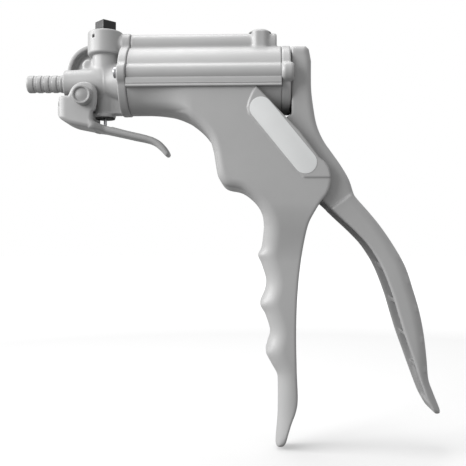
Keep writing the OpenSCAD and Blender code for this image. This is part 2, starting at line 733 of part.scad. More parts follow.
handle_back_edge = curve([[handle_back, handle_high - 7], [handle_back, axis_z - 4],
    [14.3, 86], [15.7, 76.8], [17.3, 71.4], [19.7, 66.5], [22.8, 62], [27, 56], [30.8, 49.4],
    [32.9, 43.2], [34.5, 40.6], [39, 35], [44.1, 28.6], [49.9, 20.1], [55.5, 9.9], [59.1, -1],
    [61.8, -10.4], [63.7, -20.5], [65.1, -32], [66, -41], [67.9, -46.6], [70.2, -53.2],
    [70.6, -55.6], [69.6, -57.4], [68, -57.2]]);
handle_front_edge = curve([[66.6, -55.8], [64.4, -53], [62, -49], [60, -41.6], [57.3, -31.1],
    [54.5, -21], [52, -11.8], [49.4, -2.4], [44.8, 9.4], [39.3, 18.6], [33.6, 25], [26.4, 31.8],
    [18.8, 38.9], [12.6, 43.6], [8, 48.4], [5, 54.5], [3.2, 62], [2.2, 70]]);
handle_outline = concat(handle_front_edge, [[2.2, 77.6], [handle_front, 79], [handle_front, handle_high],
    [handle_back - 2.6, handle_high], [handle_back - 1, handle_high - 1.6]], handle_back_edge);

// Divides the handle's grip from its narrower upper part.
grip_zone = [[32.9, 43.2], [90, 43.2], [90, -80], [20, -80], [20, 34.2]];

handle_hollow = concat(
    inset([for (p = handle_back_edge) if (p[1] > -47.5) p], -handle_t),
    [[40, -50], [-20, -20], [-20, handle_high - handle_t], [handle_back - handle_t, handle_high - handle_t]]);

rib_places = [[24.5, 49, 42], [34, 38, 42], [42.5, 22, 38], [49.5, 8, 33], [54.5, -7, 22], [58, -22, 15],
    [60.5, -36, 10]];

module handle_ribs() {
    for (r = rib_places) translate([r[0], 0, r[1]]) rotate([0, r[2], 0])
        translate([-16, -handle_grip_w, -rib_t / 2]) cube([22, 2 * handle_grip_w, rib_t]);
}

module handle_shell() {
    difference() {
        union() {
            across(-handle_w, handle_w) polygon(handle_outline);
            intersection() {
                across(-handle_grip_w, handle_grip_w) polygon(handle_outline);
                across(-handle_grip_w, handle_grip_w) polygon(grip_zone);
            }
        }
        across(-handle_w + handle_t, handle_w - handle_t) polygon(handle_hollow);
    }
}

slot_half = rod_pin_r + 0.3;
eye_relief = 6.5;
relief_wall = 1.4;

module rod_pin_slots() {
    slot_c = [rod_pin_x + 0.17, axis_z];
    turn = atan2(pin_drop, lift);
    for (m = [0, 1]) mirror([0, m, 0]) across(handle_w - handle_t - 1, handle_w - 1)
        translate(slot_c) rotate(-turn) union() {
            translate([0, -1.2]) circle(r = slot_half);
            translate([0, 3.4]) circle(r = slot_half);
            translate([-slot_half, -1.2]) square([2 * slot_half, 4.6]);
        }
}

module pump_handle() color(grey) difference() {
    union() {
        handle_shell();
        intersection() {
            handle_ribs();
            across(-handle_w + handle_t / 2, handle_w - handle_t / 2) polygon(handle_outline);
        }
        rod_y(-ear_w + 0.8, ear_w - 0.3, pin_r + 2.8, pivot_x, pivot_z);
    }
    rod_y(-20, 20, pin_r + run_gap, pivot_x, pivot_z);
    rod_pin_slots();
    // Relief in the back wall for the rod's eye.
    translate([handle_back - handle_t - 1, -rod_r - 0.5, axis_z - eye_relief])
        cube([handle_t + 1 - relief_wall, 2 * rod_r + 1, 2 * eye_relief]);
}

module handle_pin() color(steel) {
    rod_y(-ear_w - 1.2, housing_w + 0.1, pin_r, pivot_x, pivot_z);
    rod_y(housing_w + 0.05, housing_w + 1.2, pin_r + 1.2, pivot_x, pivot_z);
}

label_a = [-9.4, 80.6];
label_b = [10.4, 56.2];
label_r = 5.1;

module label() color("white") across(-housing_w - plate_t - label_t, -housing_w - plate_t) {
    d = label_b - label_a;
    turn = atan2(d[1], d[0]);
    polygon(concat([for (a = [90:15:270]) around(label_a, label_r, turn + a)],
        [for (a = [-90:15:90]) around(label_b, label_r, turn + a)]));
}

pump_body();
head();
head_seal();
head_screws();
hose_barb();
barb_seal();
gauge_port_plug();
selector_core();
selector_knob();
knob_screw();
inlet_valve();
outlet_valve();
release_chamber_cap();
release_stem();
release_valve_disc();
release_spring();
release_lever();
lever_pin();
vent_cap();
rear_cap();
rear_cap_screws();
rod_bush();
piston();
piston_seal();
piston_screw();
piston_rod();
return_spring();
rod_pin();
pump_handle();
handle_pin();
label();
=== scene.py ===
"""Looks of the pistol-grip hand vacuum pump.

Every moulded piece is a smooth solid: a field gives the signed distance to its
surface in millimetres, negative inside, and solid() turns the field into a mesh.
Turned pieces come from lathe(). Places come from the frame. -X runs along the
barrel to the hose barb, -Y faces the viewer and +Z is up.
"""
import json
import math

import bmesh
import bpy
import numpy as np
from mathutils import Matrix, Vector


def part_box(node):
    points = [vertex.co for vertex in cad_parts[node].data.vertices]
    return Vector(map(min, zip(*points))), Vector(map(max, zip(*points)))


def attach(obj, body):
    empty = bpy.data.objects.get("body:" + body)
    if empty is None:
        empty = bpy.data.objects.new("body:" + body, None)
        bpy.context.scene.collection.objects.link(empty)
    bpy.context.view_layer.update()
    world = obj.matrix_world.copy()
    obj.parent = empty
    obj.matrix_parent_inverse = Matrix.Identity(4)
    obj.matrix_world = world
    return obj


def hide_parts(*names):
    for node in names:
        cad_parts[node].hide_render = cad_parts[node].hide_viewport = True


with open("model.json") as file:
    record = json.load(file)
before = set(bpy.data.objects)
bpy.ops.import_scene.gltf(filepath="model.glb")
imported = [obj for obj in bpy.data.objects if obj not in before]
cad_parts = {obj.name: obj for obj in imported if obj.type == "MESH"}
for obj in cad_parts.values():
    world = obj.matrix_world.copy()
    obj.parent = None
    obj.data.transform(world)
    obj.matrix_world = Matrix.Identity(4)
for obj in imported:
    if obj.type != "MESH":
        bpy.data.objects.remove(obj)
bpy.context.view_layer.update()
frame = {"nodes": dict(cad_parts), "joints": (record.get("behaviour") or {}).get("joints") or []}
MM = 0.001

# ---------------------------------------------------------------- places, in mm


def box_mm(node):
    """A node's lowest and highest corners, in millimetres."""
    low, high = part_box(node)
    return np.array(low) / MM, np.array(high) / MM


def joint_mm(name):
    """Where a joint's axis is, in millimetres."""
    joint = next(j for j in frame["joints"] if j["name"] == name)
    return np.array(joint["pos_m"]) / MM


BODY_LOW, BODY_HIGH = box_mm("pump_body")
CAP_LOW, CAP_HIGH = box_mm("rear_cap")
BARB_LOW, BARB_HIGH = box_mm("hose_barb")
PLUG_LOW, PLUG_HIGH = box_mm("gauge_port_plug")
VENT_LOW, VENT_HIGH = box_mm("vent_cap")
KNOB_LOW, KNOB_HIGH = box_mm("selector_knob")
CHAMBER_LOW = box_mm("release_chamber_cap")[0]
BUSH_LOW, BUSH_HIGH = box_mm("rod_bush")
PIN_FACE_Y = box_mm("lever_pin")[0][1]
HANDLE_LOW, HANDLE_HIGH = box_mm("pump_handle")
PIVOT = joint_mm("handle_squeeze")
LEVER = joint_mm("release_lever_press")
KNOB = joint_mm("selector_turn")

# The barrel: its axis, its round wall, the ridge on top and the rails at its sides.
AXIS_Z = (BUSH_LOW[2] + BUSH_HIGH[2]) / 2
SEAM_X = BODY_LOW[0]
BARREL_R = 15.9
BORE_R = 13.3
UNDER_Z = AXIS_Z - BARREL_R
RIDGE_R = 5.0
RIDGE_Z = VENT_LOW[2] - 1
RIDGE_END = -2.0
VENT_X = (VENT_LOW[0] + VENT_HIGH[0]) / 2
LOBE_Y = 13.4
RAIL_TOP = AXIS_Z - 1.2
RAIL_BOTTOM = AXIS_Z - 5.6

# The housing and grip: half width, wall, label plate, toe and finger ridges.
HOUSING_W = 16.5
RAIL_W = HOUSING_W + 1.5
SHELL_T = 2.5
PLATE_T = 0.6
TOE_Z = BODY_LOW[2]
FINGER_Z = 14.8
FINGER_PITCH = 22.4
GRIP_RIBS = (-53, -35, -17, 1, 19)
PIN_R = 3.0

# The head: flange with its two screw lugs, nozzle, tower with collar, release chamber.
FLANGE_T = 4.0
BOSS_R = 4.3
BOSS_Y = BARREL_R - 1.9
BOSS_Z = AXIS_Z + 0.8
SCREW_HEAD_R = 2.5
NOSE_X = SEAM_X - 32.0
NOSE_Z = (BARB_LOW[2] + BARB_HIGH[2]) / 2
NOSE_R = 7.3
NOSE_TIP_R = 6.4
HEAD_X = (PLUG_LOW[0] + PLUG_HIGH[0]) / 2
COLLAR_TOP = AXIS_Z + 23.5
COLLAR_R = 8.3
COLLAR_H = 11.0
NECK_R = 6.1
LOCK_HOLE_TURN = 31
CHAMBER_R = 4.3
CHAMBER_LIP_R = 0.6
SPINDLE_R = 3.2
PLUG_FLATS = 7.14

# The release lever: half the gap between its sides, and their wall.
LEVER_W = 7.6
LEVER_T = 2.0
LEVER_SIDE = LEVER_W + LEVER_T

# The moving handle: wall, front and back of its upper end, and top.
HANDLE_T = 2.6
HANDLE_FRONT = CAP_HIGH[0] - 0.7
HANDLE_BACK = HANDLE_FRONT + 9.3
HANDLE_TOP = HANDLE_HIGH[2]

# ---------------------------------------------------------------- distance tools


def join(a, b, k):
    """Union of two solids with a fillet of about k."""
    h = np.clip(0.5 + 0.5 * (b - a) / k, 0, 1)
    return b * (1 - h) + a * h - k * h * (1 - h)


def keep(a, b, k):
    """What two solids share, with its edge rounded by about k."""
    return -join(-a, -b, k)


def cut(a, b, k):
    """The first solid without the second."""
    return keep(a, -b, k)


def rounded(a, b, r):
    """The solid under two walls that meet in an edge of radius r."""
    a = a + r
    b = b + r
    return np.minimum(np.maximum(a, b), 0) + np.hypot(np.maximum(a, 0), np.maximum(b, 0)) - r


def rod(u, v, w, r, low, high, edge=0.3):
    """A round bar: u and v are offsets from its axis and w is the place along it."""
    return rounded(np.hypot(u, v) - r, np.abs(w - (low + high) / 2) - (high - low) / 2, edge)


def block(x, y, z, low, high, edge=0.3):
    """A box with rounded edges."""
    dx = np.abs(x - (low[0] + high[0]) / 2) - (high[0] - low[0]) / 2
    dy = np.abs(y - (low[1] + high[1]) / 2) - (high[1] - low[1]) / 2
    dz = np.abs(z - (low[2] + high[2]) / 2) - (high[2] - low[2]) / 2
    return rounded(rounded(dx, dy, edge), dz, edge)


def ramp(t, low, high, a, b):
    """Goes smoothly from a, at low and below, to b, at high and above."""
    s = np.clip((t - low) / (high - low), 0, 1)
    s = s * s * (3 - 2 * s)
    return a + (b - a) * s


def curve(points, steps=6):
    """A smooth line through the points."""
    p = [np.array(q, float) for q in points]
    last = len(p) - 1
    line = []
    for i in range(last):
        a, b, c, d = p[max(i - 1, 0)], p[i], p[i + 1], p[min(i + 2, last)]
        for k in range(steps):
            t = k / steps
            line.append(0.5 * (2 * b + (c - a) * t + (2 * a - 5 * b + 4 * c - d) * t * t
                               + (3 * b - a - 3 * c + d) * t ** 3))
    return line + [p[last]]


def soften(table, rounds):
    """Smooths the depths that lie well inside an outline, so that rounded edges flow."""
    soft = table
    for _ in range(rounds):
        soft = (soft + np.roll(soft, 1, 0) + np.roll(soft, -1, 0)
                + np.roll(soft, 1, 1) + np.roll(soft, -1, 1)) / 5
    share = np.clip((-table - 1.0) / 3.0, 0, 1)
    return table * (1 - share) + soft * share


def outline(points, margin=5.0, step=0.3, rounds=0):
    """A closed outline in X and Z, as a function that gives the distance to it."""
    p = np.array([tuple(q) for q in points], float)
    low = p.min(0) - margin
    size = np.ceil((p.max(0) + margin - low) / step).astype(int) + 1
    u = (low[0] + step * np.arange(size[0]))[:, None]
    v = (low[1] + step * np.arange(size[1]))[None, :]
    best = np.full((size[0], size[1]), 1e9)
    inside = np.zeros(best.shape, bool)
    for a, b in zip(p, np.roll(p, -1, axis=0)):
        e = b - a
        length = e @ e
        if length < 1e-12:
            continue
        t = np.clip(((u - a[0]) * e[0] + (v - a[1]) * e[1]) / length, 0, 1)
        best = np.minimum(best, (u - a[0] - t * e[0]) ** 2 + (v - a[1] - t * e[1]) ** 2)
        if e[1] != 0:
            inside ^= ((a[1] > v) != (b[1] > v)) & (u < a[0] + (v - a[1]) * e[0] / e[1])
    table = soften(np.where(inside, -1, 1) * np.sqrt(best), rounds)

    def distance(x, z):
        i = np.clip((x - low[0]) / step, 0, size[0] - 1.001)
        j = np.clip((z - low[1]) / step, 0, size[1] - 1.001)
        i0, j0 = i.astype(int), j.astype(int)
        fi, fj = i - i0, j - j0
        near = table[i0, j0] * (1 - fj) + table[i0, j0 + 1] * fj
        far = table[i0 + 1, j0] * (1 - fj) + table[i0 + 1, j0 + 1] * fj
        beyond = np.hypot(x - low[0] - i * step, z - low[1] - j * step)
        return near * (1 - fi) + far * fi + np.where(beyond > 0.01, beyond, 0)

    return distance


# ---------------------------------------------------------------- meshing

CORNERS = [(i, j, k) for i in (0, 1) for j in (0, 1) for k in (0, 1)]
EDGES = [(a, b) for n, a in enumerate(CORNERS) for b in CORNERS[n + 1:]
         if sum(abs(p - q) for p, q in zip(a, b)) == 1]


def net(field, low, high, step):
    """The surface where the field is zero: its points and four-sided faces."""
    ax = [np.arange(low[i] - 2 * step, high[i] + 3 * step, step) for i in range(3)]
    value = field(ax[0][:, None, None], ax[1][None, :, None], ax[2][None, None, :])
    value = np.broadcast_to(value, [len(a) for a in ax])
    inside = value < 0
    count = np.zeros([n - 1 for n in value.shape], np.int8)
    for i, j, k in CORNERS:
        count += inside[i:inside.shape[0] - 1 + i, j:inside.shape[1] - 1 + j,
                        k:inside.shape[2] - 1 + k]
    cells = np.argwhere((count > 0) & (count < 8))
    number = np.full(count.shape, -1, np.int64)
    number[tuple(cells.T)] = np.arange(len(cells))
    total = np.zeros((len(cells), 3))
    hits = np.zeros(len(cells))
    for a, b in EDGES:
        va = value[tuple((cells + a).T)]
        vb = value[tuple((cells + b).T)]
        crosses = (va < 0) != (vb < 0)
        t = np.where(crosses, va / np.where(crosses, va - vb, 1), 0)
        place = np.array(a) + t[:, None] * (np.array(b) - np.array(a))
        total += np.where(crosses[:, None], place, 0)
        hits += crosses
    points = np.array([a[0] for a in ax]) + step * (cells + total / hits[:, None])
    faces = []
    for axis in range(3):
        o1, o2 = [i for i in range(3) if i != axis]
        first = [slice(1, -1)] * 3
        first[axis] = slice(0, -1)
        second = list(first)
        second[axis] = slice(1, None)
        a, b = inside[tuple(first)], inside[tuple(second)]
        at = np.argwhere(a != b) + [int(i != axis) for i in range(3)]
        starts_inside = inside[tuple(at.T)]
        ring = []
        for d1, d2 in ((0, 0), (1, 0), (1, 1), (0, 1)):
            cell = at.copy()
            cell[:, o1] -= d1
            cell[:, o2] -= d2
            ring.append(number[tuple(cell.T)])
        ring = np.stack(ring, 1)
        flip = starts_inside if axis == 1 else ~starts_inside
        ring[flip] = ring[flip][:, ::-1]
        faces.append(ring)
    return points, np.concatenate(faces)


def settle(field, points, step, rounds=3):
    """Moves the points onto the surface, along the field's slope."""
    d = 0.05 * step
    for _ in range(rounds):
        x, y, z = points.T
        value = field(x, y, z)
        slope = np.stack([field(x + d, y, z) - field(x - d, y, z),
                          field(x, y + d, z) - field(x, y - d, z),
                          field(x, y, z + d) - field(x, y, z - d)], 1) / (2 * d)
        square = np.maximum((slope ** 2).sum(1), 0.25)
        move = slope * (value / square)[:, None]
        size = np.linalg.norm(move, axis=1)
        points = points - move * (np.minimum(size, 0.4 * step) / np.maximum(size, 1e-9))[:, None]
    return points


def make_mesh(name, points, faces):
    """A smooth-shaded object from points in mm."""
    mesh = bpy.data.meshes.new(name)
    mesh.vertices.add(len(points))
    mesh.vertices.foreach_set("co", (points * MM).astype(np.float32).ravel())
    sides = faces.shape[1]
    mesh.loops.add(faces.size)
    mesh.loops.foreach_set("vertex_index", faces.astype(np.int32).ravel())
    mesh.polygons.add(len(faces))
    mesh.polygons.foreach_set("loop_start", np.arange(0, faces.size, sides, dtype=np.int32))
    mesh.polygons.foreach_set("use_smooth", np.ones(len(faces), bool))
    mesh.update(calc_edges=True)
    mesh.validate()
    piece = bpy.data.objects.new(name, mesh)
    bpy.context.scene.collection.objects.link(piece)
    return piece


def solid(name, field, low, high, step):
    """A mesh of the solid that the field gives, inside the box from low to high."""
    points, faces = net(field, low, high, step)
    return make_mesh(name, settle(field, points, step), faces)


def lathe(name, profile, centre, axis, turns=72):
    """A turned piece: profile holds pairs of radius and place along the axis, from
    end to end. axis is the direction of the turning axis, a unit vector along X, Y or Z."""
    axis = Vector(axis)
    side = Vector((0, 0, 1)) if abs(axis.z) < 0.5 else Vector((1, 0, 0))
    other = axis.cross(side)
    points = []
    for r, t in profile:
        for k in range(turns):
            a = 2 * math.pi * k / turns
            p = Vector(centre) + axis * t + (side * math.cos(a) + other * math.sin(a)) * r
            points.append(tuple(p))
    faces = []
    for i in range(len(profile) - 1):
        for k in range(turns):
            n = (k + 1) % turns
            faces.append((i * turns + k, i * turns + n, (i + 1) * turns + n, (i + 1) * turns + k))
    return make_mesh(name, np.array(points), np.array(faces))


def arc(centre, r, start, end, steps=6):
    """Points of an arc in a lathe profile; angles in degrees."""
    angles = [math.radians(start + (end - start) * k / steps) for k in range(steps + 1)]
    return [(centre[0] + r * math.cos(a), centre[1] + r * math.sin(a)) for a in angles]


def tidy(piece):
    """Joins doubled points, closes the ends of a turned piece and faces it outwards."""
    bm = bmesh.new()
    bm.from_mesh(piece.data)
    bmesh.ops.remove_doubles(bm, verts=bm.verts, dist=1e-6)
    bmesh.ops.holes_fill(bm, edges=[e for e in bm.edges if e.is_boundary], sides=0)
    bmesh.ops.recalc_face_normals(bm, faces=bm.faces)
    bm.to_mesh(piece.data)
    bm.free()
    return piece


def sharp(piece, degrees):
    """Shades flat over edges steeper than the angle."""
    piece.data.set_sharp_from_angle(angle=math.radians(degrees))
    return piece


# ---------------------------------------------------------------- materials


def new_material(name):
    """A material with its nodes, its links and its shader."""
    material = bpy.data.materials.new(name)
    material.use_nodes = True
    nodes = material.node_tree.nodes
    return material, nodes, material.node_tree.links, nodes["Principled BSDF"]


def noise(nodes, links, coords, scale, detail=3.0, roughness=0.5):
    """A noise fixed to the piece."""
    texture = nodes.new("ShaderNodeTexNoise")
    texture.inputs["Scale"].default_value = scale
    texture.inputs["Detail"].default_value = detail
    texture.inputs["Roughness"].default_value = roughness
    links.new(coords.outputs["Object"], texture.inputs["Vector"])
    return texture


def span(nodes, links, source, low, high):
    """Maps a noise to the range low to high."""
    mapping = nodes.new("ShaderNodeMapRange")
    mapping.inputs["From Min"].default_value = 0.3
    mapping.inputs["From Max"].default_value = 0.7
    mapping.inputs["To Min"].default_value = low
    mapping.inputs["To Max"].default_value = high
    links.new(source.outputs["Fac"], mapping.inputs["Value"])
    return mapping


def tint(nodes, links, source, dark, light, output="Fac"):
    """A colour between dark and light, by a noise or another value from 0 to 1."""
    ramp_node = nodes.new("ShaderNodeValToRGB")
    ramp_node.color_ramp.elements[0].position = 0.3
    ramp_node.color_ramp.elements[0].color = (*dark, 1)
    ramp_node.color_ramp.elements[1].position = 0.7
    ramp_node.color_ramp.elements[1].color = (*light, 1)
    links.new(source.outputs[output], ramp_node.inputs["Fac"])
    return ramp_node


def bump(nodes, links, shader, source, distance, strength=0.5):
    """Raises the surface by a noise; the distance is in metres."""
    node = nodes.new("ShaderNodeBump")
    node.inputs["Strength"].default_value = strength
    node.inputs["Distance"].default_value = distance
    links.new(source.outputs["Fac"], node.inputs["Height"])
    links.new(node.outputs["Normal"], shader.inputs["Normal"])


def moulded(name, grey, rough, depth, grain=1600.0):
    """Injection-moulded plastic: faint flow marks, fine spark-eroded grain."""
    material, nodes, links, shader = new_material(name)
    coords = nodes.new("ShaderNodeTexCoord")
    flow = noise(nodes, links, coords, 35.0, 4.0, 0.6)
    low = tuple(c * 0.965 for c in grey)
    high = tuple(min(c * 1.03, 1.0) for c in grey)
    links.new(tint(nodes, links, flow, low, high).outputs["Color"], shader.inputs["Base Color"])
    patch = noise(nodes, links, coords, 220.0, 3.0, 0.55)
    links.new(span(nodes, links, patch, rough - 0.04, rough + 0.05).outputs["Result"],
              shader.inputs["Roughness"])
    bump(nodes, links, shader, noise(nodes, links, coords, grain, 2.0, 0.5), depth)
    shader.inputs["Specular IOR Level"].default_value = 0.5
    return material


def metal(name, colour, rough, scale=900.0):
    """Plated steel with fine turning marks."""
    material, nodes, links, shader = new_material(name)
    coords = nodes.new("ShaderNodeTexCoord")
    marks = noise(nodes, links, coords, scale, 4.0, 0.6)
    low = tuple(c * 0.85 for c in colour)
    links.new(tint(nodes, links, marks, low, colour).outputs["Color"], shader.inputs["Base Color"])
    links.new(span(nodes, links, marks, rough - 0.06, rough + 0.08).outputs["Result"],
              shader.inputs["Roughness"])
    bump(nodes, links, shader, marks, 0.00002)
    shader.inputs["Metallic"].default_value = 1.0
    return material


GREY = moulded("grey_moulded_plastic", (0.40, 0.40, 0.40), 0.40, 0.00002)
PIN_GREY = moulded("pin_moulded_plastic", (0.34, 0.34, 0.34), 0.36, 0.00002)
BLACK = moulded("black_moulded_plastic", (0.012, 0.012, 0.013), 0.34, 0.00002)
RUBBER = moulded("black_rubber", (0.016, 0.016, 0.016), 0.62, 0.00005, 2400.0)
STEEL = metal("plated_steel", (0.62, 0.62, 0.64), 0.28)
SPRING = metal("spring_wire", (0.5, 0.5, 0.52), 0.3, 2500.0)
FILM = moulded("label_film", (0.72, 0.73, 0.73), 0.42, 0.000006, 2600.0)


def finish(piece, material):
    """Gives a piece its one material."""
    piece.data.materials.clear()
    piece.data.materials.append(material)
    return piece


def place(piece, material, body, slot, *nodes):
    """Gives a piece its finish, its body and the nodes it stands for."""
    finish(piece, material)
    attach(piece, body)
    if nodes:
        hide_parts(*nodes)
    return piece


# ---------------------------------------------------------------- pump body

# Outlines in X and Z. The front runs down from the seam to the toe, the back runs up.
THROAT = [(SEAM_X, UNDER_Z)]
THROAT += curve([(-56, UNDER_Z), (-52, UNDER_Z - 0.2), (-47.6, UNDER_Z - 1.1),
                 (-43.6, UNDER_Z - 2.6), (-40.9, UNDER_Z - 4.4), (-38.2, UNDER_Z - 6.6),
                 (-35.3, UNDER_Z - 9.6), (-32.7, UNDER_Z - 13.6), (-31, UNDER_Z - 19.4)])
THROAT += curve([(-29.9, 54), (-28.7, 49.4), (-25.3, 45.8), (-18, 43.9), (-12, 39.1),
                 (-8.9, 33.7), (-8.2, 28)])
FINGERS = curve([(-8.2, 28), (-9.3, FINGER_Z + 4.2), (-11, FINGER_Z), (-9.3, FINGER_Z - 4.4),
                 (-7.3, FINGER_Z - 0.5 * FINGER_PITCH), (-7.8, FINGER_Z - 0.5 * FINGER_PITCH - 5),
                 (-10.1, FINGER_Z - FINGER_PITCH), (-7.6, FINGER_Z - FINGER_PITCH - 5.2),
                 (-5.4, FINGER_Z - 1.5 * FINGER_PITCH - 1.6),
                 (-6.7, FINGER_Z - 2 * FINGER_PITCH + 4), (-7.4, FINGER_Z - 2 * FINGER_PITCH),
                 (-5.2, FINGER_Z - 2 * FINGER_PITCH - 4.6),
                 (-2.3, FINGER_Z - 2.5 * FINGER_PITCH + 1.2),
                 (-1.8, FINGER_Z - 2.5 * FINGER_PITCH - 4.5)])
TOE = curve([(-1.8, TOE_Z + 24.5), (-1.9, TOE_Z + 17.5), (-2.2, TOE_Z + 12), (-2.9, TOE_Z + 4),
             (-2.7, TOE_Z + 1.2), (-1.2, TOE_Z), (0.8, TOE_Z + 0.6), (2.1, TOE_Z + 3.5)])
FRONT = THROAT + FINGERS[1:] + TOE[1:]
BACK = curve([(2.8, TOE_Z + 6.5), (4.5, TOE_Z + 12.5), (6.4, TOE_Z + 18), (7.2, TOE_Z + 24),
              (6.7, -38), (6.4, -22), (6.7, -9), (7.5, 3), (8.7, 13), (10.2, 22), (11.9, 29),
              (14.4, 34), (17.1, 38.4), (20.2, 42.6), (21.5, 46.5), (21.8, 50), (21, 53.6),
              (19.3, 56.4), (16.6, 58.6)])
EAR_TIP = (-11.6, RAIL_BOTTOM)
SIDE = FRONT + BACK + [(8.1, 70.2), EAR_TIP, (EAR_TIP[0], AXIS_Z), (SEAM_X, AXIS_Z),
                       (SEAM_X, RAIL_BOTTOM)]

# The front carried on far behind the grip, so that only front edges are rounded by it.
# It leaves out the end of the toe.
FAR_X = 70.0
TOE_END = 12
FAR_SIDE = [(FAR_X, TOE_Z), (FAR_X, AXIS_Z), (SEAM_X, AXIS_Z), (SEAM_X, RAIL_BOTTOM)]
SWEEP = FRONT[:-TOE_END] + FAR_SIDE

# The raised plate that holds the label.
PLATE = [(-11.6, RAIL_BOTTOM - 0.1), (-13.4, 87.6), (-14.9, 84), (-15.6, 81.1), (-14.9, 78),
         (9.6, 49.4), (21.6, 49.4), (21.6, 50), (20.8, 53.4), (19.2, 56.1), (16.4, 58.4),
         (7.9, 70)]


def body_width(x, z):
    """Half the width of the housing and grip, which flows out of the round barrel."""
    width = ramp(z, 12, 38, 12.6, HOUSING_W) - ramp(-z, 30, 75, 0, 4.0)
    round_width = np.sqrt(np.maximum(BARREL_R ** 2 - (z - AXIS_Z) ** 2, 0.04))
    flat = ramp(x, SEAM_X + 2, -40, 0, 1)
    return flat * width + (1 - flat) * round_width


def body_round(z):
    """How far the front edges of the housing and grip are rounded."""
    return ramp(z, 24, 46, 8.0, 4.2)


def grip_shell(front, whole, x, y, z):
    """The housing and grip: an open-backed shell with ribs across it."""
    width = body_width(x, z)
    edge = body_round(z)
    outer = keep(rounded(front, np.abs(y) - width, edge), whole, 1.2)
    hollow = rounded(front + SHELL_T, np.abs(y) - width + SHELL_T, edge - SHELL_T)
    hollow = keep(hollow, z - UNDER_Z - 1, 1.0)
    hollow = keep(hollow, TOE_Z + 11 - z, 2.0)
    shell = cut(outer, hollow, 0.8)
    for rib_z in GRIP_RIBS:
        web = keep(np.abs(z - rib_z) - 1.0, whole + 3.5, 0.6)
        web = keep(web, rounded(front + 1.2, np.abs(y) - width + 1.2, edge - 1.2), 0.3)
        shell = join(shell, web, 0.8)
    return shell


def barrel_solid(x, y, z):
    """The barrel with a lobe at each side, the ridge on top and the vent's column."""
    barrel = np.hypot(y, z - AXIS_Z) - BARREL_R
    barrel = join(barrel, np.hypot(np.abs(y) - LOBE_Y, z - BOSS_Z) - BOSS_R, 0.7)
    barrel = rounded(barrel, np.abs(x - SEAM_X / 2) + SEAM_X / 2, 0.25)
    barrel = join(barrel, rod(y, z - RIDGE_Z, x, RIDGE_R, SEAM_X, RIDGE_END, 0.8), 0.7)
    column = rounded(np.abs(x - VENT_X - 0.2) - 4.0, np.abs(y) - 6.4, 2.8)
    column = rounded(column, np.abs(z - RIDGE_Z) - 5.1, 0.3)
    return join(barrel, column, 0.9)


def make_pump_body():
    """Barrel, housing and fixed grip in one moulding."""
    side = outline(SIDE)
    sweep = outline(SWEEP, rounds=60)
    plate = outline(PLATE, 3.0, 0.2)

    def field(x, y, z):
        shell = grip_shell(sweep(x, z), side(x, z), x, y, z)
        total = join(shell, barrel_solid(x, y, z), 0.6)
        pad = rounded(plate(x, z), np.abs(y + HOUSING_W) - PLATE_T, 0.3)
        total = np.minimum(total, pad)
        boss = rod(x - PIVOT[0], z - PIVOT[2], y, PIN_R + 3, -14.6, -13.9, 0.2)
        total = np.minimum(total, boss)
        total = cut(total, np.hypot(y, z - AXIS_Z) - BORE_R, 0.3)
        pin = rod(x - PIVOT[0], z - PIVOT[2], y, PIN_R + 0.05, -15.4, 30, 0.2)
        return cut(total, pin, 0.3)

    piece = solid("pump_body_shell", field, (BODY_LOW[0], -18.6, BODY_LOW[2]),
                  (BODY_HIGH[0], 18.6, RIDGE_Z + RIDGE_R + 1), 0.5)
    return place(piece, GREY, "body", "grey_plastic", "pump_body")


def strip(name, profile, x0, x1):
    """A bar along the barrel with the given outline in Y and Z."""
    n = len(profile)
    points = [(x, y, z) for x in (x0, x1) for y, z in profile]
    piece = make_mesh(name, np.array(points), np.array(
        [(i, (i + 1) % n, n + (i + 1) % n, n + i) for i in range(n)]))
    return sharp(tidy(piece), 35)


def make_rails():
    """The stepped ledge along each side of the barrel."""
    for side, tag in ((-1, "near"), (1, "far")):
        w = RAIL_W
        steps = [(13, RAIL_TOP + 0.1), (w - 1.6, RAIL_TOP + 0.1), (w - 1.1, RAIL_TOP - 0.1),
                 (w - 0.7, RAIL_TOP - 0.45), (w - 0.5, RAIL_TOP - 0.9),
                 (w - 0.45, RAIL_TOP - 1.3), (w - 0.45, RAIL_BOTTOM + 1.6),
                 (w - 0.3, RAIL_BOTTOM + 1.5), (w - 0.3, RAIL_BOTTOM + 1.3),
                 (w - 0.55, RAIL_BOTTOM + 1.1), (w - 0.35, RAIL_BOTTOM + 0.8),
                 (w - 0.1, RAIL_BOTTOM + 0.6), (w, RAIL_BOTTOM + 0.3), (w, RAIL_BOTTOM),
                 (w - 0.2, RAIL_BOTTOM - 0.25), (13, RAIL_BOTTOM - 0.25)]
        piece = strip("barrel_rail_" + tag, [(side * y, z) for y, z in steps], SEAM_X + 0.2, -0.2)
        place(piece, GREY, "body", "grey_plastic")


# ---------------------------------------------------------------- moving handle

OUTER = curve([(HANDLE_BACK, HANDLE_TOP - 7), (HANDLE_BACK, AXIS_Z - 4), (14.3, 86),
               (15.7, 76.8), (17.3, 71.4), (19.7, 66.5), (22.8, 62), (27, 56), (30.8, 49.4),
               (32.9, 43.2), (34.5, 40.6), (39.4, 35), (44.6, 28.6), (50.4, 20.1), (56.1, 9.9),
               (59.7, -1), (62.4, -10.4), (64.3, -20.5), (65.7, -32), (66.6, -41), (68.5, -46.6),
               (71.2, -53.2), (72, -55.8), (71.4, -57.6), (69.8, -57.4)])
INNER = curve([(68.5, -56), (66.8, -53), (64.8, -49), (62.1, -41.6), (58.5, -31.1), (55, -21),
               (52.2, -11.8), (49.4, -2.4), (44.8, 9.4), (39.3, 18.6), (33.6, 25), (26.4, 31.8),
               (18.8, 38.9), (12.6, 43.6), (8, 48.4), (5, 54.5), (3.2, 62), (2.2, 70)])
